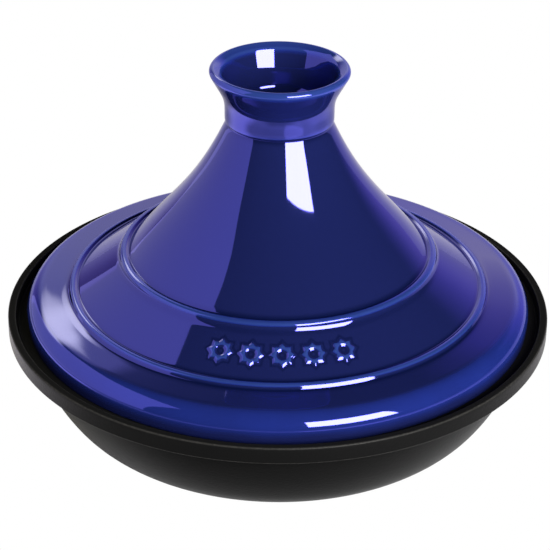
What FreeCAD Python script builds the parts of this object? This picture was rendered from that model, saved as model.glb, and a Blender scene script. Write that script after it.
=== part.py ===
import FreeCAD, Part
import math
import os

# A tagine: a matt black cast iron dish and, standing in a gutter inside its rim, a tall glazed
# ceramic lid that lifts straight off. Each of the two is one closed solid in its own node.
# Millimetres and degrees. +Z is up; the origin is the centre of the dish's foot.
# Both pieces are turned about the Z axis, so their outlines are points of (radius, height).

# Dish, outside: a wall of two tangent arcs under a rim that stands out from it
RIM_RADIUS = 142.0
DISH_HEIGHT = 63.0
BAND_HEIGHT = 8.8
RIM_WIDTH = 4.0
WALL_TOP_RADIUS = 131.3
WALL_TOP_HEIGHT = 52.0
WALL_TOP_LEAN = 11.3
WALL_BEND_RADIUS = 89.0
WALL_BEND_END_LEAN = 34.6
FOOT_RECESS_RADIUS = 68.0
FOOT_RECESS_DEPTH = 1.0

# Dish, inside: the lid stands on the floor of the gutter, beside the wall
DISH_THICKNESS = 4.5
SEAT_HEIGHT = 58.0
GUTTER_WALL_DRAFT = 1.2

# Dish, roundings
LIP_ROUNDING = 0.9
BAND_FOOT_ROUNDING = 0.7
UNDERCUT_ROUNDING = 1.5
GUTTER_ROUNDING = 1.6
SEAT_EDGE_ROUNDING = 0.6
RECESS_ROUNDING = 0.5

# Lid, skirt and shoulder
SKIRT_FOOT_RADIUS = 131.6
SKIRT_INNER_RADIUS = 126.9
SKIRT_FOOT_ROUNDING = 0.6
SHOULDER_RADIUS = 132.3
SHOULDER_HEIGHT = 72.1
SHOULDER_ROUNDING = 9.5

# Lid, beads: low rounded bands, each ending in a small drop to the slope below it
UPPER_BEAD_INNER = (77.8, 95.5)
UPPER_BEAD_OUTER = (82.2, 96.0)
UPPER_BEAD_FOOT = (82.8, 92.5)
UPPER_BEAD_FOOT_ROUNDING = 5.8
LOWER_BEAD_INNER = (105.0, 76.8)
LOWER_BEAD_OUTER = (108.8, 77.6)
LOWER_BEAD_FOOT = (109.9, 75.1)
LOWER_BEAD_FOOT_ROUNDING = 0.8
BEAD_CREST_INSET = 1.6
BEAD_CREST_RISE = 0.9
BEAD_CREST_ROUNDING = 1.2
BEAD_EDGE_ROUNDING = 1.5
BEAD_INNER_ROUNDING = 0.6

# Lid, cone: a hollow curve from the upper bead to the neck
CONE_FOOT_RISE = 51.3
CONE_FOOT_PULL = 31.5
CONE_NECK_RISE = 66.1
CONE_NECK_PULL = 41.0
NECK_RADIUS = 27.0
NECK_HEIGHT = 168.0

# Lid, knob: a flared cup with a closed floor
KNOB_FOOT_RADIUS = 27.9
KNOB_FOOT_HEIGHT = 168.9
KNOB_FOOT_ROUNDING = 0.5
KNOB_FLARE_HEIGHT = 180.2
KNOB_FLARE_ROUNDING = 20.0
KNOB_LIP_RADIUS = 36.0
KNOB_LIP_HEIGHT = 194.8
KNOB_LIP_ROUNDING = 1.9
KNOB_TOP_RADIUS = 33.9
KNOB_TOP_HEIGHT = 197.4
KNOB_TOP_ROUNDING = 1.6
CUP_MOUTH_RADIUS = 29.5
CUP_MOUTH_HEIGHT = 194.9
CUP_MOUTH_ROUNDING = 3.0
CUP_NECK_RADIUS = 25.9
CUP_NECK_HEIGHT = 185.0
CUP_NECK_ROUNDING = 5.0
CUP_FLOOR_RADIUS = 23.4
CUP_FLOOR_HEIGHT = 172.0
CUP_FLOOR_ROUNDING = 7.0

# Lid, hollow: under the slopes, up the cone, and over a round dome below the knob
LID_THICKNESS = 6.3
HOLLOW_SHOULDER_HEIGHT = 66.3
HOLLOW_SHOULDER_ROUNDING = 4.0
HOLLOW_SLOPE_ROUNDING = 6.0
HOLLOW_CONE_FOOT_PULL = 24.0
HOLLOW_CONE_TOP_PULL = 26.0
DOME_RADIUS = 33.0
DOME_TOP_HEIGHT = 165.5
DOME_START_RISE = 62.0

# Relief on the front of the lid's lower slope: a row of eight-pointed stars, each with a round hole.
# Two squares turned an eighth of a turn from each other make such a star.
STAR_COUNT = 5
STAR_PITCH = 9.35
STAR_ROW_TURN = 1.4
STAR_PLACE_ON_SLOPE = 0.48
STAR_RADIUS = 6.6
STAR_HOLE_RADIUS = 2.3
STAR_POINTS = 8
STAR_NOTCH_RATIO = math.cos(math.radians(45.0)) / math.cos(math.radians(22.5))
RELIEF_HEIGHT = 0.8
RELIEF_ROOT = 1.0
RELIEF_DRAFT = 0.35

FULL_TURN = 360.0
ORIGIN = FreeCAD.Vector(0, 0, 0)
X_AXIS = FreeCAD.Vector(1, 0, 0)
Z_AXIS = FreeCAD.Vector(0, 0, 1)


def at(radius, height):
    """A point of an outline."""
    return FreeCAD.Vector(radius, 0, height)


def heading(degrees):
    """The outline direction that rises by this angle from straight outwards."""
    angle = math.radians(degrees)
    return at(math.cos(angle), math.sin(angle))


def straight(start, end):
    return Part.LineSegment(start, end).toShape()


def arc_about(centre, radius, first, last):
    """An arc between two headings from its centre."""
    headings = (first, (first + last) / 2, last)
    return Part.Arc(*[centre + heading(angle) * radius for angle in headings]).toShape()


def round_corner(before, corner, after, rounding):
    """Start, middle and end of the arc that rounds a corner."""
    back = (before - corner).normalize()
    ahead = (after - corner).normalize()
    half_angle = back.getAngle(ahead) / 2
    reach = rounding / math.tan(half_angle)
    bisector = (back + ahead).normalize()
    centre = corner + bisector * (rounding / math.sin(half_angle))
    return corner + back * reach, centre - bisector * rounding, corner + ahead * reach


def rounded_line(first, corners, last):
    """Edges from first to last through (point, rounding) corners."""
    points = [first] + [point for point, rounding in corners] + [last]
    edges = []
    here = first
    for index, (point, rounding) in enumerate(corners, 1):
        start, middle, end = round_corner(points[index - 1], point, points[index + 1], rounding)
        edges.append(straight(here, start))
        edges.append(Part.Arc(start, middle, end).toShape())
        here = end
    edges.append(straight(here, last))
    return edges


def curve_between(foot, foot_rise, foot_pull, top, top_rise, top_pull):
    """A smooth curve that leaves foot and reaches top at the given rises towards the axis."""
    foot_handle = foot + heading(180.0 - foot_rise) * foot_pull
    top_handle = top - heading(180.0 - top_rise) * top_pull
    curve = Part.BezierCurve()
    curve.setPoles([foot, foot_handle, top_handle, top])
    return curve.toShape()


def turned(edges):
    """The solid that a closed outline sweeps about the Z axis."""
    outline = Part.Face(Part.Wire(Part.__sortEdges__(edges)))
    return outline.revolve(ORIGIN, Z_AXIS, FULL_TURN)


def make_dish():
    """The dish: outer and inner walls on the same arc centres, a foot, and a rim round a gutter."""
    bend_centre = at(WALL_TOP_RADIUS, WALL_TOP_HEIGHT) - heading(-WALL_TOP_LEAN) * WALL_BEND_RADIUS
    bend_end = bend_centre + heading(-WALL_BEND_END_LEAN) * WALL_BEND_RADIUS
    corner_radius = bend_end.z / (1 - math.sin(math.radians(WALL_BEND_END_LEAN)))
    corner_centre = bend_end - heading(-WALL_BEND_END_LEAN) * corner_radius
    foot_radius = corner_centre.x
    inner_wall_top = bend_centre + heading(-WALL_TOP_LEAN) * (WALL_BEND_RADIUS - DISH_THICKNESS)

    edges = []
    for offset in (0, DISH_THICKNESS):
        edges.append(arc_about(bend_centre, WALL_BEND_RADIUS - offset, -WALL_TOP_LEAN, -WALL_BEND_END_LEAN))
        edges.append(arc_about(corner_centre, corner_radius - offset, -WALL_BEND_END_LEAN, -90.0))

    band_foot_height = DISH_HEIGHT - BAND_HEIGHT
    gutter_mouth_radius = RIM_RADIUS - RIM_WIDTH
    rim_corners = [
        (at(WALL_TOP_RADIUS, band_foot_height), UNDERCUT_ROUNDING),
        (at(RIM_RADIUS, band_foot_height), BAND_FOOT_ROUNDING),
        (at(RIM_RADIUS, DISH_HEIGHT), LIP_ROUNDING),
        (at(gutter_mouth_radius, DISH_HEIGHT), LIP_ROUNDING),
        (at(gutter_mouth_radius - GUTTER_WALL_DRAFT, SEAT_HEIGHT), GUTTER_ROUNDING),
        (at(inner_wall_top.x, SEAT_HEIGHT), SEAT_EDGE_ROUNDING),
    ]
    edges += rounded_line(at(WALL_TOP_RADIUS, WALL_TOP_HEIGHT), rim_corners, inner_wall_top)

    recess_corners = [
        (at(FOOT_RECESS_RADIUS, 0), RECESS_ROUNDING),
        (at(FOOT_RECESS_RADIUS - FOOT_RECESS_DEPTH, FOOT_RECESS_DEPTH), RECESS_ROUNDING),
    ]
    edges += rounded_line(at(foot_radius, 0), recess_corners, at(0, FOOT_RECESS_DEPTH))
    edges.append(straight(at(foot_radius, DISH_THICKNESS), at(0, DISH_THICKNESS)))
    edges.append(straight(at(0, DISH_THICKNESS), at(0, FOOT_RECESS_DEPTH)))
    return turned(edges)


def bead_corners(inner, outer, foot, foot_rounding):
    """A bead's crest, its outer edge and the foot of its drop."""
    crest = at(inner[0] + BEAD_CREST_INSET, inner[1] + BEAD_CREST_RISE)
    return [(crest, BEAD_CREST_ROUNDING), (at(*outer), BEAD_EDGE_ROUNDING), (at(*foot), foot_rounding)]


CONE_FOOT = at(*UPPER_BEAD_INNER)
NECK = at(NECK_RADIUS, NECK_HEIGHT)
SLOPE_TOP = at(*UPPER_BEAD_FOOT)
SLOPE_FOOT = at(*LOWER_BEAD_INNER)
SKIRT_TOP_INSIDE = at(SKIRT_INNER_RADIUS, SEAT_HEIGHT + LID_THICKNESS / 2)


def knob_edges():
    """The cup's inside from the axis, its lip, and its flared outside down to the neck."""
    corners = [
        (at(CUP_FLOOR_RADIUS, CUP_FLOOR_HEIGHT), CUP_FLOOR_ROUNDING),
        (at(CUP_NECK_RADIUS, CUP_NECK_HEIGHT), CUP_NECK_ROUNDING),
        (at(CUP_MOUTH_RADIUS, CUP_MOUTH_HEIGHT), CUP_MOUTH_ROUNDING),
        (at(KNOB_TOP_RADIUS, KNOB_TOP_HEIGHT), KNOB_TOP_ROUNDING),
        (at(KNOB_LIP_RADIUS, KNOB_LIP_HEIGHT), KNOB_LIP_ROUNDING),
        (at(KNOB_FOOT_RADIUS, KNOB_FLARE_HEIGHT), KNOB_FLARE_ROUNDING),
        (at(KNOB_FOOT_RADIUS, KNOB_FOOT_HEIGHT), KNOB_FOOT_ROUNDING),
    ]
    return rounded_line(at(0, CUP_FLOOR_HEIGHT), corners, NECK)


def tier_edges():
    """From the cone's foot over both beads and the shoulder, down the skirt and round its foot."""
    corners = bead_corners(UPPER_BEAD_INNER, UPPER_BEAD_OUTER, UPPER_BEAD_FOOT, UPPER_BEAD_FOOT_ROUNDING)
    corners.append((SLOPE_FOOT, BEAD_INNER_ROUNDING))
    corners += bead_corners(LOWER_BEAD_INNER, LOWER_BEAD_OUTER, LOWER_BEAD_FOOT, LOWER_BEAD_FOOT_ROUNDING)
    corners += [
        (at(SHOULDER_RADIUS, SHOULDER_HEIGHT), SHOULDER_ROUNDING),
        (at(SKIRT_FOOT_RADIUS, SEAT_HEIGHT), SKIRT_FOOT_ROUNDING),
        (at(SKIRT_INNER_RADIUS, SEAT_HEIGHT), SKIRT_FOOT_ROUNDING),
    ]
    return rounded_line(CONE_FOOT, corners, SKIRT_TOP_INSIDE)


def hollow_edges():
    """The lid's inside, from the skirt to the top of the dome on the axis."""
    slope = (SLOPE_FOOT - SLOPE_TOP).normalize()
    slope_foot_inside = SLOPE_FOOT + at(slope.z, -slope.x) * LID_THICKNESS
    cone_foot_inside = CONE_FOOT + heading(270.0 - CONE_FOOT_RISE) * LID_THICKNESS
    dome_centre = at(0, DOME_TOP_HEIGHT - DOME_RADIUS)
    dome_start = dome_centre + heading(90.0 - DOME_START_RISE) * DOME_RADIUS
    corners = [
        (at(SKIRT_INNER_RADIUS, HOLLOW_SHOULDER_HEIGHT), HOLLOW_SHOULDER_ROUNDING),
        (slope_foot_inside, HOLLOW_SLOPE_ROUNDING),
    ]
    edges = rounded_line(SKIRT_TOP_INSIDE, corners, cone_foot_inside)
    edges.append(
        curve_between(
            cone_foot_inside, CONE_FOOT_RISE, HOLLOW_CONE_FOOT_PULL,
            dome_start, DOME_START_RISE, HOLLOW_CONE_TOP_PULL,
        )
    )
    edges.append(arc_about(dome_centre, DOME_RADIUS, 90.0 - DOME_START_RISE, 90.0))
    return edges


def star_outline(tip_radius, height):
    """An eight-pointed star: tips and notches by turns."""
    points = []
    for step in range(2 * STAR_POINTS):
        angle = math.radians(step * FULL_TURN / (2 * STAR_POINTS))
        reach = tip_radius * (STAR_NOTCH_RATIO if step % 2 else 1.0)
        points.append(FreeCAD.Vector(reach * math.cos(angle), reach * math.sin(angle), height))
    return Part.makePolygon(points + points[:1])


def make_star():
    """One raised star on the XY plane: drafted sides, and a hole that widens to its top."""
    outlines = [
        star_outline(STAR_RADIUS + RELIEF_DRAFT, -RELIEF_ROOT),
        star_outline(STAR_RADIUS, RELIEF_HEIGHT),
    ]
    hole = Part.makeCone(
        STAR_HOLE_RADIUS - RELIEF_DRAFT, STAR_HOLE_RADIUS, RELIEF_ROOT + RELIEF_HEIGHT,
        FreeCAD.Vector(0, 0, -RELIEF_ROOT),
    )
    return Part.makeLoft(outlines, True, True).cut(hole)


def make_relief():
    """The row of stars, laid on the front of the lower slope and fanned about the Z axis."""
    slope = SLOPE_FOOT - SLOPE_TOP
    slope_angle = math.degrees(math.atan2(-slope.z, slope.x))
    middle = SLOPE_TOP + slope * STAR_PLACE_ON_SLOPE
    stars = []
    for index in range(STAR_COUNT):
        star = make_star()
        star.rotate(ORIGIN, X_AXIS, slope_angle)
        star.translate(FreeCAD.Vector(0, -middle.x, middle.z))
        star.rotate(ORIGIN, Z_AXIS, STAR_ROW_TURN + (index - (STAR_COUNT - 1) / 2) * STAR_PITCH)
        stars.append(star)
    return stars


def make_lid():
    """The lid: one hollow turned body with the relief grown out of its lower slope."""
    cone = curve_between(CONE_FOOT, CONE_FOOT_RISE, CONE_FOOT_PULL, NECK, CONE_NECK_RISE, CONE_NECK_PULL)
    axis = straight(at(0, DOME_TOP_HEIGHT), at(0, CUP_FLOOR_HEIGHT))
    body = turned(knob_edges() + [cone, axis] + tier_edges() + hollow_edges())
    return body.fuse(make_relief()).Solids[0]


os.makedirs("parts", exist_ok=True)
make_dish().exportStep("parts/base_dish.step")
make_lid().exportStep("parts/lid.step")
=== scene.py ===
import math

import bpy
import numpy as np
from mathutils import Matrix, Vector, noise


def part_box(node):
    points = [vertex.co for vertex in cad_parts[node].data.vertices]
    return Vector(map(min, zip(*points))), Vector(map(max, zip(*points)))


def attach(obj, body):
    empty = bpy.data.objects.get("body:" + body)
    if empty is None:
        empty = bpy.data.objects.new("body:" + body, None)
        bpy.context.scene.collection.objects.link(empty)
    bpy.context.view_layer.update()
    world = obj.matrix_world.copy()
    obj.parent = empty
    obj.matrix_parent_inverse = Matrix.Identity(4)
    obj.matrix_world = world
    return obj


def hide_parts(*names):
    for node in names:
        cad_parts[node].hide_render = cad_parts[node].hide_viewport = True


# A tagine: a matt black cast iron dish and a cobalt-glazed ceramic lid that stands in its gutter.
# Both pieces are turned about the Z axis, so their outlines are points of (radius, height). The
# outlines are in millimetres, as potters and founders give them, and become metres in the meshes.

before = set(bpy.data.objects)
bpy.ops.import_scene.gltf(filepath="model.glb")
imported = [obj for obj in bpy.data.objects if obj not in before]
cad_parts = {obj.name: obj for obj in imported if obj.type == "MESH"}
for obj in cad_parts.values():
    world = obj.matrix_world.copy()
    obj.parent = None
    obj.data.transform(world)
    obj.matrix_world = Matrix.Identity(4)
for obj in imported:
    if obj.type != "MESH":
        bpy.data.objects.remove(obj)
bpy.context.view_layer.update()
MM = 0.001

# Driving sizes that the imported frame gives
RIM_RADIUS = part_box("base_dish")[1].x / MM
DISH_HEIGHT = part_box("base_dish")[1].z / MM
SEAT_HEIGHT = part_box("lid")[0].z / MM

# Dish
BAND_HEIGHT = 8.8
RIM_WIDTH = 4.0
WALL_TOP = (131.3, 52.0)
WALL_TOP_LEAN = 11.3
WALL_BEND_RADIUS = 89.0
WALL_BEND_END_LEAN = 34.6
FOOT_RECESS_RADIUS = 68.0
FOOT_RECESS_DEPTH = 1.0
DISH_THICKNESS = 4.5
GUTTER_WALL_DRAFT = 1.2
LIP_ROUNDING = 0.9
BAND_FOOT_ROUNDING = 0.7
UNDERCUT_ROUNDING = 1.5
GUTTER_ROUNDING = 1.6
SEAT_EDGE_ROUNDING = 0.6
RECESS_ROUNDING = 0.5

# Lid: skirt and shoulder
SKIRT_FOOT_RADIUS = 131.6
SKIRT_INNER_RADIUS = 126.9
SKIRT_FOOT_ROUNDING = 0.6
SHOULDER = (132.3, 72.1)
SHOULDER_ROUNDING = 9.5

# Lid: beads
UPPER_BEAD_INNER = (77.8, 95.5)
UPPER_BEAD_OUTER = (82.2, 96.0)
UPPER_BEAD_FOOT = (82.8, 92.5)
UPPER_BEAD_FOOT_ROUNDING = 5.8
LOWER_BEAD_INNER = (105.0, 76.8)
LOWER_BEAD_OUTER = (108.8, 77.6)
LOWER_BEAD_FOOT = (109.9, 75.1)
LOWER_BEAD_FOOT_ROUNDING = 0.8
BEAD_CREST = (1.6, 0.9)
BEAD_CREST_ROUNDING = 1.2
BEAD_EDGE_ROUNDING = 1.5
BEAD_INNER_ROUNDING = 0.6

# Lid: cone and knob
CONE_FOOT_RISE = 51.3
CONE_FOOT_PULL = 31.5
CONE_NECK_RISE = 66.1
CONE_NECK_PULL = 41.0
NECK = (27.0, 168.0)
KNOB_FOOT = (27.9, 168.9)
KNOB_FOOT_ROUNDING = 0.5
KNOB_FLARE_HEIGHT = 180.2
KNOB_FLARE_ROUNDING = 20.0
KNOB_LIP = (36.0, 194.8)
KNOB_LIP_ROUNDING = 1.9
KNOB_TOP = (33.9, 197.4)
KNOB_TOP_ROUNDING = 1.6
CUP_MOUTH = (29.5, 194.9)
CUP_MOUTH_ROUNDING = 3.0
CUP_NECK = (25.9, 185.0)
CUP_NECK_ROUNDING = 5.0
CUP_FLOOR = (23.4, 172.0)
CUP_FLOOR_ROUNDING = 7.0

# Lid: hollow
LID_THICKNESS = 6.3
HOLLOW_SHOULDER_HEIGHT = 66.3
HOLLOW_SHOULDER_ROUNDING = 4.0
HOLLOW_SLOPE_ROUNDING = 6.0
HOLLOW_CONE_FOOT_PULL = 24.0
HOLLOW_CONE_TOP_PULL = 26.0
DOME_RADIUS = 33.0
DOME_TOP_HEIGHT = 165.5
DOME_START_RISE = 62.0

# Lid: the row of eight-pointed stars on the front of its lower slope, its pitch and turn in degrees
STAR_COUNT = 5
STAR_PITCH = 9.35
STAR_ROW_TURN = 1.4
STAR_PLACE_ON_SLOPE = 0.48
STAR_RADIUS = 6.6
STAR_HOLE_RADIUS = 2.3
RELIEF_HEIGHT = 0.8
RELIEF_FLANK = (-0.6, 1.4)
FRONT = -90.0

# How finely an outline is followed and turned: steps in mm along it and in degrees about the axis
TRACE_STEP = 0.1
FEWEST_ARC_STEPS = 3
ROW_STEP = 2.5
ROW_TURN = 7.0
COLUMN_STEP = 1.25
RELIEF_ROW_STEP = 0.32
RELIEF_COLUMN_STEP = 0.2
RELIEF_SECTOR = 25.0
SLOPE_TOLERANCE = 1.0

# How much glaze or paint softens an outline, and how wide a blur tells what stands proud of it
GLAZE_SOFTENING = 0.45
IRON_SOFTENING = 0.22
GLAZE_SPREAD = 2.0
IRON_SPREAD = 0.7
BLUR_REACH = 4
WAVE_LENGTH = 26.0
WAVE_HEIGHT = 0.07

# Where the glaze is thin or pooled, in mm that it stands proud, and the painted shade at the lid's foot
# where it stands in the gutter.
# On a star's crest and in the groove round it the steps are depths inside its stroke, and at the lid's
# foot they are heights above it.
MOST_PROUD = 0.38
CREST_STEP = (0.2, 0.9)
CREST_PROUD = 0.4
GROOVE_STEPS = ((-2.2, -1.0), (0.0, -0.8))
GROOVE_POOL = 0.35
FOOT_STEP = (3.0, 1.0)
FOOT_PAINTED_SHADE = 0.6

# Glaze: colours from pooled to thin as (place on the ramp, colour), and blotches as (size in m, detail)
GLAZE_COLOURS = (
    (0.0, (0.003, 0.006, 0.04)),
    (0.42, (0.0092, 0.0138, 0.081)),
    (0.58, (0.0092, 0.0138, 0.081)),
    (0.72, (0.0125, 0.025, 0.19)),
    (1.0, (0.032, 0.067, 0.26)),
)
GLAZE_BLOTCH = (0.03, 3)
GLAZE_VARIATION = 0.12
GLAZE_ROUGHNESS = 0.04
GLAZE_IOR = 3.0
GLAZE_GLOSS_COLOUR = (0.18, 0.18, 1.0, 1)

# Iron: colours from painted to pale as (place on the ramp, colour), where its edges are paler, partly
# from wear and partly as a painted highlight, in mm that they stand proud, and its roughness as it turns
# upwards: (start, end, roughness before and after)
IRON_COLOURS = ((0.0, (0.0055, 0.0055, 0.0055)), (1.0, (0.09, 0.087, 0.08)))
IRON_EDGE_WEAR_AND_HIGHLIGHT = (0.1, 0.3)
IRON_ROUGHNESS = (0.5, 0.95, 0.3, 0.9)
IRON_IOR = 1.15
IRON_GRAIN = (0.0012, 2)
IRON_GRAIN_STRENGTH = 0.45
IRON_GRAIN_DEPTH = 0.0002

# Camera: place in metres, tilt up from straight down and roll in degrees, lens and sensor in mm
CAMERA_PLACE = (-0.0016, -0.9328, 0.5840)
CAMERA_TILT = 61.55
CAMERA_ROLL = 0.486
CAMERA_LENS = 131.95
CAMERA_SENSOR = 36.0

# Softbox on the left: an upright rectangle that faces right, in metres, and its radiance
LEFT_BOX_DISTANCE = 1.2
LEFT_BOX_FRONT = -0.84
LEFT_BOX_BACK = 1.596
LEFT_BOX_TOP = 2.01
LEFT_BOX_RADIANCE = 0.9
LEFT_BOX_COLOUR = (1.0, 0.94, 0.98)

# Softbox at the front right: an upright rectangle that faces the axis. Its turn from straight in front,
# the rise of its bottom and top and half its width are in degrees, as seen from a height on the axis.
FRONT_BOX_DISTANCE = 1.3
FRONT_BOX_SEEN_FROM = 0.145
FRONT_BOX_TURN = 31.15
FRONT_BOX_RISES = (9.0, 37.0)
FRONT_BOX_HALF_WIDTH = 18.65
FRONT_BOX_RADIANCE = 20.0
FRONT_BOX_COLOUR = (1.0, 1.0, 1.0)

# A glossy depth between that of a first reflection and that of a second one
PAST_FIRST_REFLECTION = 1.5

# What the camera sees of the world, in place of the light that it gives
SEEN_COLOUR = (1.0, 1.0, 1.0, 1)

# Light that the world gives: a backdrop behind the object and a warm patch on its left. A place from
# side to side is x / y of a direction: 0 is straight behind, and 1 is 45 degrees to its right.
# Palettes are stops of (elevation in degrees, colour), and each takes over from those before it between
# two such places, starting from the far right. Windows are (start, full, fading, ended).
BACKDROP_GLOW = 1.8
BACKDROP_STARTS_BACK = (0.45, 1.0)
BACKDROP_LEFT_END = (-0.78, -0.72)
BACKDROP_RIGHT = (
    (4, (0.4, 0.37, 0.46)),
    (13, (0.57, 0.52, 0.6)),
    (21, (1.0, 0.9, 0.62)),
    (27, (0.56, 0.46, 0.53)),
    (30, (0.4, 0.31, 0.48)),
    (35, (0.19, 0.14, 0.36)),
    (42, (0.0, 0.0, 0.0)),
)
BACKDROP_FAR_RIGHT = (
    (26, (0.4, 0.29, 0.65)),
    (34, (0.0, 0.0, 0.0)),
)
BACKDROP_LEFT = (
    (4, (0.4, 0.37, 0.48)),
    (20, (0.68, 0.66, 0.56)),
    (34, (0.72, 0.72, 0.6)),
    (40, (0.72, 0.7, 0.66)),
    (42, (0.15, 0.15, 0.15)),
    (48, (0.0, 0.0, 0.0)),
)
BACKDROP_FAR_LEFT = (
    (0, (0.3, 0.24, 0.42)),
    (14, (0.2, 0.13, 0.28)),
    (48, (0.0, 0.0, 0.0)),
)
BACKDROP_MIXES = (
    ((0.85, 0.3), BACKDROP_RIGHT),
    ((0.05, -0.1), BACKDROP_LEFT),
    ((-0.3, -0.62), BACKDROP_FAR_LEFT),
)
PATCH_GLOW = 6.0
PATCH_COLOUR = (1.0, 0.98, 0.35, 1)
PATCH_ASIDE = (-0.9, -0.6, -0.282, -0.276)
PATCH_ELEVATION = (25, 32, 35, 39)
PATCH_STARTS_BACK = (0.0, 0.2)

# Floor: light that it gives off behind, on the left, on the right and at the front right of the object,
# as windows in x and in y, in metres, and a strength. It is paler towards the back, given as (start,
# end, paleness before and after) along y, and less pale in a window before the object.
FLOOR_HALF_WIDTH = 8.0
FLOOR_ROUGHNESS = 0.15
FLOOR_SPECULAR = 0.12
FLOOR_GLOWS = (
    ((-9.0, -8.0, 8.0, 9.0), (0.05, 0.5, 8.0, 9.0), 0.4),
    ((-0.8, -0.6, -0.22, -0.14), (-0.2, -0.05, 0.1, 0.3), 1.4),
    ((0.14, 0.22, 0.3, 0.4), (-0.2, -0.05, 0.1, 0.3), 0.5),
    ((0.05, 0.08, 0.28, 0.34), (-0.55, -0.45, -0.27, -0.23), 0.65),
)
FLOOR_GLOW_COLOUR = (0.9, 0.84, 0.95, 1)
FLOOR_PALENESS = (-0.7, -0.1, 0.05, 0.8)
# The window before the object is a painted shadow of the object on the floor
FLOOR_SHADE = ((-0.16, -0.06, 0.06, 0.16), (-0.34, -0.22, -0.15, -0.08), -0.4)


def offset(point, degrees, distance):
    """The point this far away in the direction that rises by this angle from straight outwards."""
    angle = math.radians(degrees)
    return np.array(point, float) + distance * np.array((math.cos(angle), math.sin(angle)))


def arc_about(centre, radius, first, last):
    """Points along an arc between two headings from its centre, first excluded."""
    count = max(FEWEST_ARC_STEPS, math.ceil(abs(math.radians(last - first)) * radius / TRACE_STEP))
    return [offset(centre, first + (last - first) * step / count, radius) for step in range(1, count + 1)]


def round_corner(before, corner, after, rounding):
    """Points of the arc that rounds a corner, its start included."""
    before, corner, after = (np.array(point, float) for point in (before, corner, after))
    back = (before - corner) / np.linalg.norm(before - corner)
    ahead = (after - corner) / np.linalg.norm(after - corner)
    half_angle = math.acos(np.clip(back @ ahead, -1, 1)) / 2
    bisector = (back + ahead) / np.linalg.norm(back + ahead)
    centre = corner + bisector * rounding / math.sin(half_angle)
    start = corner + back * rounding / math.tan(half_angle) - centre
    first = math.degrees(math.atan2(start[1], start[0]))
    sweep = 180.0 - math.degrees(2 * half_angle)
    side = back[0] * ahead[1] - back[1] * ahead[0]
    return [centre + start] + arc_about(centre, rounding, first, first + math.copysign(sweep, -side))


def rounded_line(first, corners, last):
    """Points from first to last through (point, rounding) corners."""
    points = [first] + [point for point, rounding in corners] + [last]
    line = [np.array(first, float)]
    for index, (point, rounding) in enumerate(corners, 1):
        line += round_corner(points[index - 1], point, points[index + 1], rounding)
    return line + [np.array(last, float)]


def curve_between(foot, foot_rise, foot_pull, top, top_rise, top_pull):
    """Points of a smooth curve that leaves foot and reaches top at these rises towards the axis."""
    foot_handle = offset(foot, 180.0 - foot_rise, foot_pull)
    top_handle = offset(top, -top_rise, top_pull)
    count = math.ceil(math.dist(foot, top) / TRACE_STEP)
    share = np.linspace(0, 1, count + 1)[:, None]
    rest = 1 - share
    ends = rest**3 * np.array(foot) + share**3 * np.array(top)
    return list(ends + 3 * rest**2 * share * foot_handle + 3 * rest * share**2 * top_handle)


def blurred(values, spread):
    """Values along an outline, at TRACE_STEP, blurred over this distance."""
    reach = math.ceil(BLUR_REACH * spread / TRACE_STEP)
    weights = np.exp(-0.5 * (np.arange(-reach, reach + 1) * TRACE_STEP / spread) ** 2)
    weights /= weights.sum()
    return np.convolve(np.pad(values, reach, mode="edge"), weights, mode="valid")


def traced(line, softening, spread):
    """An outline at even steps with softened corners, its outward normals and how proud it stands.

    How proud is the distance from each point back to the same outline blurred over the spread.
    """
    line = np.array(line)
    lengths = np.concatenate(([0], np.cumsum(np.linalg.norm(np.diff(line, axis=0), axis=1))))
    even = np.linspace(0, lengths[-1], math.ceil(lengths[-1] / TRACE_STEP) + 1)
    path = np.stack([np.interp(even, lengths, line[:, axis]) for axis in (0, 1)], axis=1)
    soft = np.stack([blurred(path[:, axis], softening) for axis in (0, 1)], axis=1)
    from_ends = np.minimum(even, lengths[-1] - even)
    settle = np.clip(from_ends / (BLUR_REACH * softening), 0, 1)[:, None]
    path = path + (soft - path) * settle
    ahead = np.gradient(path, axis=0)
    normals = np.stack((ahead[:, 1], -ahead[:, 0]), axis=1) / np.linalg.norm(ahead, axis=1)[:, None]
    far = np.stack([blurred(path[:, axis], spread) for axis in (0, 1)], axis=1)
    return path, normals, np.sum((path - far) * normals, axis=1)


def chosen_rows(path, normals, fine=None):
    """Which points of a traced outline become rows: closer where it bends or where fine says so."""
    rows = [0]
    run = bend = 0.0
    for index in range(1, len(path)):
        run += TRACE_STEP
        bend += math.degrees(math.dist(normals[index], normals[index - 1]))
        step = RELIEF_ROW_STEP if fine is not None and fine[index] else ROW_STEP
        if run >= step or bend >= ROW_TURN or index == len(path) - 1:
            rows.append(index)
            run = bend = 0.0
    return rows


def column_angles(fine_sector):
    """The angles of a turned mesh's columns, in degrees, closer together in the relief's sector."""
    if not fine_sector:
        return np.arange(0.0, 360.0, COLUMN_STEP)
    fine = np.arange(-RELIEF_SECTOR, RELIEF_SECTOR, RELIEF_COLUMN_STEP)
    wide = np.arange(RELIEF_SECTOR, 360.0 - RELIEF_SECTOR, COLUMN_STEP)
    return FRONT + STAR_ROW_TURN + np.concatenate((fine, wide))


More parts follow.
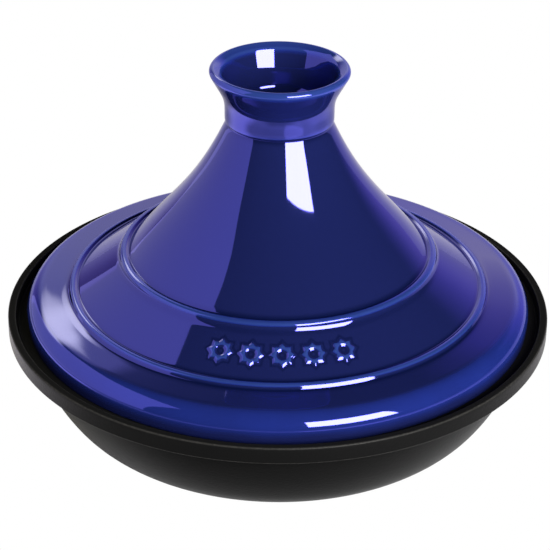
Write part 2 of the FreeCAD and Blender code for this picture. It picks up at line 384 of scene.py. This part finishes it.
def turned_mesh(name, path, normals, angles, rise, marks):
    """A mesh swept about Z from an outline that starts and ends on the axis.

    It is raised along the outline's normals by rise[row, column], and each of the marks, which are
    names with values for [row, column], stays with its points as an attribute.
    """
    radii = path[1:-1, 0][:, None] + rise[1:-1] * normals[1:-1, 0][:, None]
    heights = path[1:-1, 1][:, None] + rise[1:-1] * normals[1:-1, 1][:, None]
    turns = np.radians(angles)[None, :]
    rings = np.stack((radii * np.cos(turns), radii * np.sin(turns), heights), axis=2)
    poles = [(0.0, 0.0, path[row, 1]) for row in (0, -1)]
    verts = np.concatenate((rings.reshape(-1, 3), poles)) * MM
    columns = len(angles)
    last_ring = (len(path) - 3) * columns
    first_pole, last_pole = len(verts) - 2, len(verts) - 1
    faces = []
    for column in range(columns):
        after = (column + 1) % columns
        for low in range(0, last_ring, columns):
            faces.append((low + column, low + after, low + columns + after, low + columns + column))
        faces.append((first_pole, after, column))
        faces.append((last_pole, last_ring + column, last_ring + after))
    mesh = bpy.data.meshes.new(name)
    mesh.from_pydata(verts.tolist(), [], faces)
    for mark, values in marks.items():
        values = np.concatenate((values[1:-1].reshape(-1), (values[0, 0], values[-1, 0])))
        mesh.attributes.new(mark, "FLOAT", "POINT").data.foreach_set("value", values.astype(np.float32))
    mesh.update()
    for polygon in mesh.polygons:
        polygon.use_smooth = True
    piece = bpy.data.objects.new(name, mesh)
    bpy.context.scene.collection.objects.link(piece)
    return piece


def dish_outline():
    """The dish, from the middle of its floor over the rim and down to the middle of its foot."""
    bend_centre = offset(WALL_TOP, 180.0 - WALL_TOP_LEAN, WALL_BEND_RADIUS)
    bend_end = offset(bend_centre, -WALL_BEND_END_LEAN, WALL_BEND_RADIUS)
    corner_radius = bend_end[1] / (1 - math.sin(math.radians(WALL_BEND_END_LEAN)))
    corner_centre = offset(bend_end, 180.0 - WALL_BEND_END_LEAN, corner_radius)
    foot_radius = corner_centre[0]
    inner_radius = WALL_BEND_RADIUS - DISH_THICKNESS
    inner_top = offset(bend_centre, -WALL_TOP_LEAN, inner_radius)
    band_foot = DISH_HEIGHT - BAND_HEIGHT
    gutter_mouth = RIM_RADIUS - RIM_WIDTH
    inside = [np.array((0.0, DISH_THICKNESS)), np.array((foot_radius, DISH_THICKNESS))]
    inside += arc_about(corner_centre, corner_radius - DISH_THICKNESS, -90.0, -WALL_BEND_END_LEAN)
    inside += arc_about(bend_centre, inner_radius, -WALL_BEND_END_LEAN, -WALL_TOP_LEAN)
    rim = [
        ((inner_top[0], SEAT_HEIGHT), SEAT_EDGE_ROUNDING),
        ((gutter_mouth - GUTTER_WALL_DRAFT, SEAT_HEIGHT), GUTTER_ROUNDING),
        ((gutter_mouth, DISH_HEIGHT), LIP_ROUNDING),
        ((RIM_RADIUS, DISH_HEIGHT), LIP_ROUNDING),
        ((RIM_RADIUS, band_foot), BAND_FOOT_ROUNDING),
        ((WALL_TOP[0], band_foot), UNDERCUT_ROUNDING),
    ]
    outside = arc_about(bend_centre, WALL_BEND_RADIUS, -WALL_TOP_LEAN, -WALL_BEND_END_LEAN)
    outside += arc_about(corner_centre, corner_radius, -WALL_BEND_END_LEAN, -90.0)
    recess = [
        ((FOOT_RECESS_RADIUS, 0.0), RECESS_ROUNDING),
        ((FOOT_RECESS_RADIUS - FOOT_RECESS_DEPTH, FOOT_RECESS_DEPTH), RECESS_ROUNDING),
    ]
    foot = rounded_line(outside[-1], recess, (0.0, FOOT_RECESS_DEPTH))
    return inside + rounded_line(inside[-1], rim, WALL_TOP)[1:] + outside + foot[1:]


def bead_corners(inner, outer, foot, foot_rounding):
    """The foot of a bead's drop, its outer edge and its crest, in that order going up."""
    crest = (inner[0] + BEAD_CREST[0], inner[1] + BEAD_CREST[1])
    return [(foot, foot_rounding), (outer, BEAD_EDGE_ROUNDING), (crest, BEAD_CREST_ROUNDING)]


SLOPE_TOP = np.array(UPPER_BEAD_FOOT)
SLOPE_FOOT = np.array(LOWER_BEAD_INNER)
SLOPE = SLOPE_FOOT - SLOPE_TOP
SLOPE_ANGLE = math.degrees(math.atan2(-SLOPE[1], SLOPE[0]))


def lid_outline():
    """The lid, from the top of its dome down the hollow, round the skirt and up to the cup."""
    dome_centre = (0.0, DOME_TOP_HEIGHT - DOME_RADIUS)
    dome_start = offset(dome_centre, 90.0 - DOME_START_RISE, DOME_RADIUS)
    slope_foot_inside = offset(SLOPE_FOOT, 270.0 - SLOPE_ANGLE, LID_THICKNESS)
    cone_foot_inside = offset(UPPER_BEAD_INNER, 270.0 - CONE_FOOT_RISE, LID_THICKNESS)
    hollow_cone = curve_between(
        cone_foot_inside, CONE_FOOT_RISE, HOLLOW_CONE_FOOT_PULL,
        dome_start, DOME_START_RISE, HOLLOW_CONE_TOP_PULL,
    )
    line = [np.array((0.0, DOME_TOP_HEIGHT))]
    line += arc_about(dome_centre, DOME_RADIUS, 90.0, 90.0 - DOME_START_RISE)
    line += hollow_cone[-2::-1]
    skirt = [
        (slope_foot_inside, HOLLOW_SLOPE_ROUNDING),
        ((SKIRT_INNER_RADIUS, HOLLOW_SHOULDER_HEIGHT), HOLLOW_SHOULDER_ROUNDING),
        ((SKIRT_INNER_RADIUS, SEAT_HEIGHT), SKIRT_FOOT_ROUNDING),
        ((SKIRT_FOOT_RADIUS, SEAT_HEIGHT), SKIRT_FOOT_ROUNDING),
        (SHOULDER, SHOULDER_ROUNDING),
    ]
    skirt += bead_corners(LOWER_BEAD_INNER, LOWER_BEAD_OUTER, LOWER_BEAD_FOOT, LOWER_BEAD_FOOT_ROUNDING)
    skirt.append((LOWER_BEAD_INNER, BEAD_INNER_ROUNDING))
    skirt += bead_corners(UPPER_BEAD_INNER, UPPER_BEAD_OUTER, UPPER_BEAD_FOOT, UPPER_BEAD_FOOT_ROUNDING)
    line += rounded_line(line[-1], skirt, UPPER_BEAD_INNER)[1:]
    line += curve_between(
        UPPER_BEAD_INNER, CONE_FOOT_RISE, CONE_FOOT_PULL,
        NECK, CONE_NECK_RISE, CONE_NECK_PULL,
    )[1:]
    knob = [
        (KNOB_FOOT, KNOB_FOOT_ROUNDING),
        ((KNOB_FOOT[0], KNOB_FLARE_HEIGHT), KNOB_FLARE_ROUNDING),
        (KNOB_LIP, KNOB_LIP_ROUNDING),
        (KNOB_TOP, KNOB_TOP_ROUNDING),
        (CUP_MOUTH, CUP_MOUTH_ROUNDING),
        (CUP_NECK, CUP_NECK_ROUNDING),
        (CUP_FLOOR, CUP_FLOOR_ROUNDING),
    ]
    return line + rounded_line(NECK, knob, (0.0, CUP_FLOOR[1]))[1:]


def smooth_step(values, start, end):
    """0 up to start, 1 from end on, and a smooth climb between them."""
    share = np.clip((values - start) / (end - start), 0, 1)
    return share * share * (3 - 2 * share)


def star_depth(across, along):
    """How far inside a star's stroke a place is: two crossed squares with a round hole."""
    straight = np.maximum(np.abs(across), np.abs(along))
    diagonal = np.maximum(np.abs(across + along), np.abs(across - along)) / math.sqrt(2)
    from_outline = STAR_RADIUS / math.sqrt(2) - np.minimum(straight, diagonal)
    from_hole = np.hypot(across, along) - STAR_HOLE_RADIUS
    return np.minimum(from_outline, from_hole)


def relief_depth(path, angles):
    """How far inside the row of stars each place of the outline's rows is, and which rows are near."""
    slope_length = np.linalg.norm(SLOPE)
    down = (path - SLOPE_TOP) @ (SLOPE / slope_length)
    off_slope = np.abs((path - SLOPE_TOP) @ np.array((-SLOPE[1], SLOPE[0])) / slope_length)
    along = down - STAR_PLACE_ON_SLOPE * slope_length
    near = (off_slope < SLOPE_TOLERANCE) & (np.abs(along) < 2 * STAR_RADIUS)
    depth = np.full((len(path), len(angles)), -STAR_RADIUS)
    for index in range(STAR_COUNT):
        turn = FRONT + STAR_ROW_TURN + (index - (STAR_COUNT - 1) / 2) * STAR_PITCH
        away = (angles - turn + 180.0) % 360.0 - 180.0
        across = np.radians(away)[None, :] * path[:, 0][:, None]
        depth = np.maximum(depth, star_depth(across, np.broadcast_to(along[:, None], across.shape)))
    depth[~near] = -STAR_RADIUS
    return depth, near


def waviness(path, angles):
    """The slight unevenness of a thrown and glazed surface, from 0 down to twice WAVE_HEIGHT below."""
    turns = np.radians(angles)
    rise = np.empty((len(path), len(angles)))
    for row, (radius, height) in enumerate(path):
        for column, turn in enumerate(turns):
            place = Vector((radius * math.cos(turn), radius * math.sin(turn), height)) / WAVE_LENGTH
            rise[row, column] = noise.noise(place) - 1.0
    return rise * WAVE_HEIGHT


def make_dish():
    """The dish, marked with how proud it stands and how far it faces up."""
    path, normals, stand = traced(dish_outline()[::-1], IRON_SOFTENING, IRON_SPREAD)
    rows = chosen_rows(path, normals)
    angles = column_angles(False)
    level = np.zeros((len(rows), len(angles)))
    marks = {
        "stand": level + stand[rows][:, None],
        "upward": level + np.clip(normals[rows, 1], 0, 1)[:, None],
    }
    return turned_mesh("iron_dish", path[rows], normals[rows], angles, level, marks)


def make_lid():
    """The lid with its relief, marked with how proud it stands or how far glaze pools on it, and darker
    at its foot as painted shade.
    """
    path, normals, stand = traced(lid_outline(), GLAZE_SOFTENING, GLAZE_SPREAD)
    angles = column_angles(True)
    rows = chosen_rows(path, normals, relief_depth(path, angles[:1])[1])
    path, normals, stand = path[rows], normals[rows], stand[rows]
    depth = relief_depth(path, angles)[0]
    rise = RELIEF_HEIGHT * smooth_step(depth, *RELIEF_FLANK) + waviness(path, angles)
    crest = CREST_PROUD * smooth_step(depth, *CREST_STEP)
    outer, inner = GROOVE_STEPS
    groove = GROOVE_POOL * smooth_step(depth, *outer) * smooth_step(depth, *inner)
    # Painted shade: the lid's foot, which stands in the shaded gutter, is marked darker as if glaze
    # pooled there
    foot = FOOT_PAINTED_SHADE * smooth_step(path[:, 1] - SEAT_HEIGHT, *FOOT_STEP)
    proud = np.minimum(stand, MOST_PROUD) - foot
    marks = {"stand": proud[:, None] + crest - groove}
    return turned_mesh("glazed_lid", path, normals, angles, rise, marks)


def math_node(nodes, links, operation, *values):
    """The result of an operation on values, which are numbers or sockets."""
    node = nodes.new("ShaderNodeMath")
    node.operation = operation
    for socket, value in zip(node.inputs, values):
        if isinstance(value, (int, float)):
            socket.default_value = value
        else:
            links.new(value, socket)
    return node.outputs["Value"]


def ramp_node(nodes, links, value, start, end, low=0.0, high=1.0):
    """Low where the value is at start, high where it is at end, and smooth between them."""
    node = nodes.new("ShaderNodeMapRange")
    node.interpolation_type = "SMOOTHSTEP"
    for name, number in (("From Min", start), ("From Max", end), ("To Min", low), ("To Max", high)):
        node.inputs[name].default_value = number
    links.new(value, node.inputs["Value"])
    return node.outputs["Result"]


def window_node(nodes, links, value, start, full, fading, ended):
    """1 between full and fading, with a smooth climb from start before it and fall to ended after."""
    climb = ramp_node(nodes, links, value, start, full)
    return math_node(nodes, links, "MULTIPLY", climb, ramp_node(nodes, links, value, ended, fading))


def rectangle_node(nodes, links, across, along, window_across, window_along):
    """1 inside a window in both values."""
    inside = window_node(nodes, links, across, *window_across)
    return math_node(nodes, links, "MULTIPLY", inside, window_node(nodes, links, along, *window_along))


def split_coords(nodes, links, kind):
    """The x, y and z sockets of one kind of texture coordinates."""
    coords = nodes.new("ShaderNodeTexCoord")
    split = nodes.new("ShaderNodeSeparateXYZ")
    links.new(coords.outputs[kind], split.inputs["Vector"])
    return split.outputs


def show_camera(nodes, links, seen, real, output):
    """Let the camera see one shader where everything else sees the real one."""
    path = nodes.new("ShaderNodeLightPath")
    pick = nodes.new("ShaderNodeMixShader")
    links.new(path.outputs["Is Camera Ray"], pick.inputs["Fac"])
    links.new(real, pick.inputs[1])
    links.new(seen, pick.inputs[2])
    links.new(pick.outputs["Shader"], nodes[output].inputs["Surface"])


def new_material(name):
    """A material with its nodes, its links and its shader."""
    material = bpy.data.materials.new(name)
    material.use_nodes = True
    nodes = material.node_tree.nodes
    return material, nodes, material.node_tree.links, nodes["Principled BSDF"]


def attribute(nodes, name):
    """One of the marks that a turned mesh carries."""
    node = nodes.new("ShaderNodeAttribute")
    node.attribute_name = name
    return node.outputs["Fac"]


def blotches(nodes, links, size, detail):
    """Soft patches of about this size in metres, as a value round 0.5 that belongs to the object."""
    coords = nodes.new("ShaderNodeTexCoord")
    texture = nodes.new("ShaderNodeTexNoise")
    texture.inputs["Scale"].default_value = 1 / size
    texture.inputs["Detail"].default_value = detail
    links.new(coords.outputs["Object"], texture.inputs["Vector"])
    return texture.outputs["Fac"]


def colour_ramp(nodes, links, value, stops):
    """The colour that belongs to a value, from stops of (place on the ramp, colour)."""
    ramp = nodes.new("ShaderNodeValToRGB")
    elements = ramp.color_ramp.elements
    while len(elements) < len(stops):
        elements.new(1.0)
    for element, (position, colour) in zip(elements, stops):
        element.position = position
        element.color = (*colour, 1)
    links.new(value, ramp.inputs["Fac"])
    return ramp.outputs["Color"]


def glaze():
    """Cobalt glaze: dark where it pools in grooves and at the lid's foot as painted shade, lighter where
    it runs thin over edges.
    """
    material, nodes, links, shader = new_material("cobalt_glaze")
    patches = blotches(nodes, links, *GLAZE_BLOTCH)
    least = (1 - GLAZE_VARIATION) / 2
    uneven = math_node(nodes, links, "MULTIPLY_ADD", patches, GLAZE_VARIATION, least)
    thin = math_node(nodes, links, "ADD", attribute(nodes, "stand"), uneven)
    links.new(colour_ramp(nodes, links, thin, GLAZE_COLOURS), shader.inputs["Base Color"])
    shader.inputs["Roughness"].default_value = GLAZE_ROUGHNESS
    shader.inputs["IOR"].default_value = GLAZE_IOR
    shader.inputs["Specular Tint"].default_value = GLAZE_GLOSS_COLOUR
    return material


def iron():
    """Matt black cast iron: a fine grain, duller where it faces up, paler on its edges from wear and as a
    painted highlight.
    """
    material, nodes, links, shader = new_material("matt_black_iron")
    # The paleness on proud edges is partly wear and partly a painted highlight of the lit edge lines
    edge_wear_and_highlight = ramp_node(nodes, links, attribute(nodes, "stand"), *IRON_EDGE_WEAR_AND_HIGHLIGHT)
    grain = blotches(nodes, links, *IRON_GRAIN)
    edge_wear_and_highlight = math_node(nodes, links, "MULTIPLY", edge_wear_and_highlight, grain)
    links.new(colour_ramp(nodes, links, edge_wear_and_highlight, IRON_COLOURS), shader.inputs["Base Color"])
    dull = ramp_node(nodes, links, attribute(nodes, "upward"), *IRON_ROUGHNESS)
    links.new(dull, shader.inputs["Roughness"])
    bump = nodes.new("ShaderNodeBump")
    bump.inputs["Strength"].default_value = IRON_GRAIN_STRENGTH
    bump.inputs["Distance"].default_value = IRON_GRAIN_DEPTH
    links.new(grain, bump.inputs["Height"])
    links.new(bump.outputs["Normal"], shader.inputs["Normal"])
    shader.inputs["IOR"].default_value = IRON_IOR
    return material


def limit_to_first_reflection(light):
    """Keep a lamp out of reflections of reflections."""
    light.use_nodes = True
    nodes = light.node_tree.nodes
    links = light.node_tree.links
    depth = nodes.new("ShaderNodeLightPath").outputs["Glossy Depth"]
    strength = math_node(nodes, links, "LESS_THAN", depth, PAST_FIRST_REFLECTION)
    links.new(strength, nodes["Emission"].inputs["Strength"])


def area_light(name, place, facing, size, radiance, colour):
    """A rectangular softbox: place and facing points in metres, size (width, height)."""
    data = bpy.data.lights.new(name, "AREA")
    data.shape = "RECTANGLE"
    data.size, data.size_y = size
    data.color = colour
    data.energy = radiance * size[0] * size[1] * math.pi
    limit_to_first_reflection(data)
    lamp = bpy.data.objects.new(name, data)
    bpy.context.scene.collection.objects.link(lamp)
    direction = Vector(facing) - Vector(place)
    turn = direction.to_track_quat("-Z", "Y").to_matrix().to_4x4()
    lamp.matrix_world = Matrix.Translation(place) @ turn
    lamp.visible_camera = False


def make_camera():
    """A camera in front of the object that looks down at it."""
    data = bpy.data.cameras.new("camera")
    data.lens = CAMERA_LENS
    data.sensor_width = CAMERA_SENSOR
    camera = bpy.data.objects.new("camera", data)
    bpy.context.scene.collection.objects.link(camera)
    tilt = Matrix.Rotation(math.radians(CAMERA_TILT), 4, "X")
    roll = Matrix.Rotation(math.radians(CAMERA_ROLL), 4, "Z")
    camera.matrix_world = Matrix.Translation(CAMERA_PLACE) @ tilt @ roll
    bpy.context.scene.camera = camera


def make_floor():
    """A pale floor that the camera sees evenly lit, and that reflections see as the lights leave it, with
    glowing windows and a painted shadow before the object.
    """
    half = FLOOR_HALF_WIDTH
    corners = [(-half, -half, 0), (half, -half, 0), (half, half, 0), (-half, half, 0)]
    mesh = bpy.data.meshes.new("floor")
    mesh.from_pydata(corners, [], [(0, 1, 2, 3)])
    floor = bpy.data.objects.new("floor", mesh)
    bpy.context.scene.collection.objects.link(floor)
    material, nodes, links, shader = new_material("floor_white")
    shader.inputs["Roughness"].default_value = FLOOR_ROUGHNESS
    shader.inputs["Specular IOR Level"].default_value = FLOOR_SPECULAR
    across, along, _ = split_coords(nodes, links, "Object")
    glow = 0.0
    for window_x, window_y, strength in FLOOR_GLOWS:
        inside = rectangle_node(nodes, links, across, along, window_x, window_y)
        glow = math_node(nodes, links, "MULTIPLY_ADD", inside, strength, glow)
    links.new(glow, shader.inputs["Emission Strength"])
    shader.inputs["Emission Color"].default_value = FLOOR_GLOW_COLOUR
    # Painted shadow: the floor is made less pale in a window in front of the object
    window_x, window_y, strength = FLOOR_SHADE
    shade = rectangle_node(nodes, links, across, along, window_x, window_y)
    pale = ramp_node(nodes, links, along, *FLOOR_PALENESS)
    pale = math_node(nodes, links, "MULTIPLY_ADD", shade, strength, pale)
    links.new(pale, shader.inputs["Base Color"])
    seen = nodes.new("ShaderNodeEmission").outputs["Emission"]
    show_camera(nodes, links, seen, shader.outputs["BSDF"], "Material Output")
    mesh.materials.append(material)


def sine(degrees):
    """The sine of an angle in degrees."""
    return math.sin(math.radians(degrees))


def elevation_ramp(nodes, links, up, stops):
    """Colours by the sine of an elevation, from stops in degrees."""
    return colour_ramp(nodes, links, up, [(sine(degrees), colour) for degrees, colour in stops])


def backdrop_shader(nodes, links, aside, back, up):
    """The glow behind the object: palettes mixed from its far right to its far left."""
    colour = elevation_ramp(nodes, links, up, BACKDROP_FAR_RIGHT)
    for edges, stops in BACKDROP_MIXES:
        mix = nodes.new("ShaderNodeMix")
        mix.data_type = "RGBA"
        links.new(ramp_node(nodes, links, aside, *edges), mix.inputs["Factor"])
        links.new(colour, mix.inputs["A"])
        links.new(elevation_ramp(nodes, links, up, stops), mix.inputs["B"])
        colour = mix.outputs["Result"]
    glow = ramp_node(nodes, links, back, *BACKDROP_STARTS_BACK, 0.0, BACKDROP_GLOW)
    left_end = ramp_node(nodes, links, aside, *BACKDROP_LEFT_END)
    glow = math_node(nodes, links, "MULTIPLY", glow, left_end)
    shader = nodes["Background"]
    links.new(colour, shader.inputs["Color"])
    links.new(glow, shader.inputs["Strength"])
    return shader.outputs["Background"]


def patch_shader(nodes, links, aside, back, up):
    """The warm patch on the left of the backdrop."""
    window_up = [sine(degrees) for degrees in PATCH_ELEVATION]
    inside = rectangle_node(nodes, links, aside, up, PATCH_ASIDE, window_up)
    behind = ramp_node(nodes, links, back, *PATCH_STARTS_BACK, 0.0, PATCH_GLOW)
    shader = nodes.new("ShaderNodeBackground")
    shader.inputs["Color"].default_value = PATCH_COLOUR
    glow = math_node(nodes, links, "MULTIPLY", inside, behind)
    links.new(glow, shader.inputs["Strength"])
    return shader.outputs["Background"]


def make_world():
    """A dark studio with a backdrop and a warm patch, which the camera sees as plain white."""
    world = bpy.data.worlds.new("studio")
    bpy.context.scene.world = world
    world.use_nodes = True
    nodes = world.node_tree.nodes
    links = world.node_tree.links
    across, back, up = split_coords(nodes, links, "Generated")
    aside = math_node(nodes, links, "DIVIDE", across, back)
    total = nodes.new("ShaderNodeAddShader")
    links.new(backdrop_shader(nodes, links, aside, back, up), total.inputs[0])
    links.new(patch_shader(nodes, links, aside, back, up), total.inputs[1])
    seen = nodes.new("ShaderNodeBackground")
    seen.inputs["Color"].default_value = SEEN_COLOUR
    show_camera(nodes, links, seen.outputs["Background"], total.outputs["Shader"], "World Output")


def make_left_box():
    """A long softbox along the left side of the object."""
    along = (LEFT_BOX_FRONT + LEFT_BOX_BACK) / 2
    height = LEFT_BOX_TOP / 2
    place = (-LEFT_BOX_DISTANCE, along, height)
    size = (LEFT_BOX_BACK - LEFT_BOX_FRONT, LEFT_BOX_TOP)
    area_light("softbox_left", place, (0, along, height), size, LEFT_BOX_RADIANCE, LEFT_BOX_COLOUR)


def make_front_box():
    """A bright softbox at the front right."""
    reach = FRONT_BOX_DISTANCE
    turn = math.radians(FRONT_BOX_TURN)
    bottom, top = (
        FRONT_BOX_SEEN_FROM + reach * math.tan(math.radians(rise)) for rise in FRONT_BOX_RISES
    )
    width = 2 * reach * math.tan(math.radians(FRONT_BOX_HALF_WIDTH))
    height = (top + bottom) / 2
    place = (reach * math.sin(turn), -reach * math.cos(turn), height)
    size = (width, top - bottom)
    area_light("softbox_front", place, (0, 0, height), size, FRONT_BOX_RADIANCE, FRONT_BOX_COLOUR)


make_camera()
make_floor()
make_world()
make_left_box()
make_front_box()
bpy.context.scene.view_settings.view_transform = "Standard"

dish = make_dish()
dish.data.materials.append(iron())
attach(dish, "dish")
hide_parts("base_dish")

lid = make_lid()
lid.data.materials.append(glaze())
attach(lid, "lid")
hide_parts("lid")
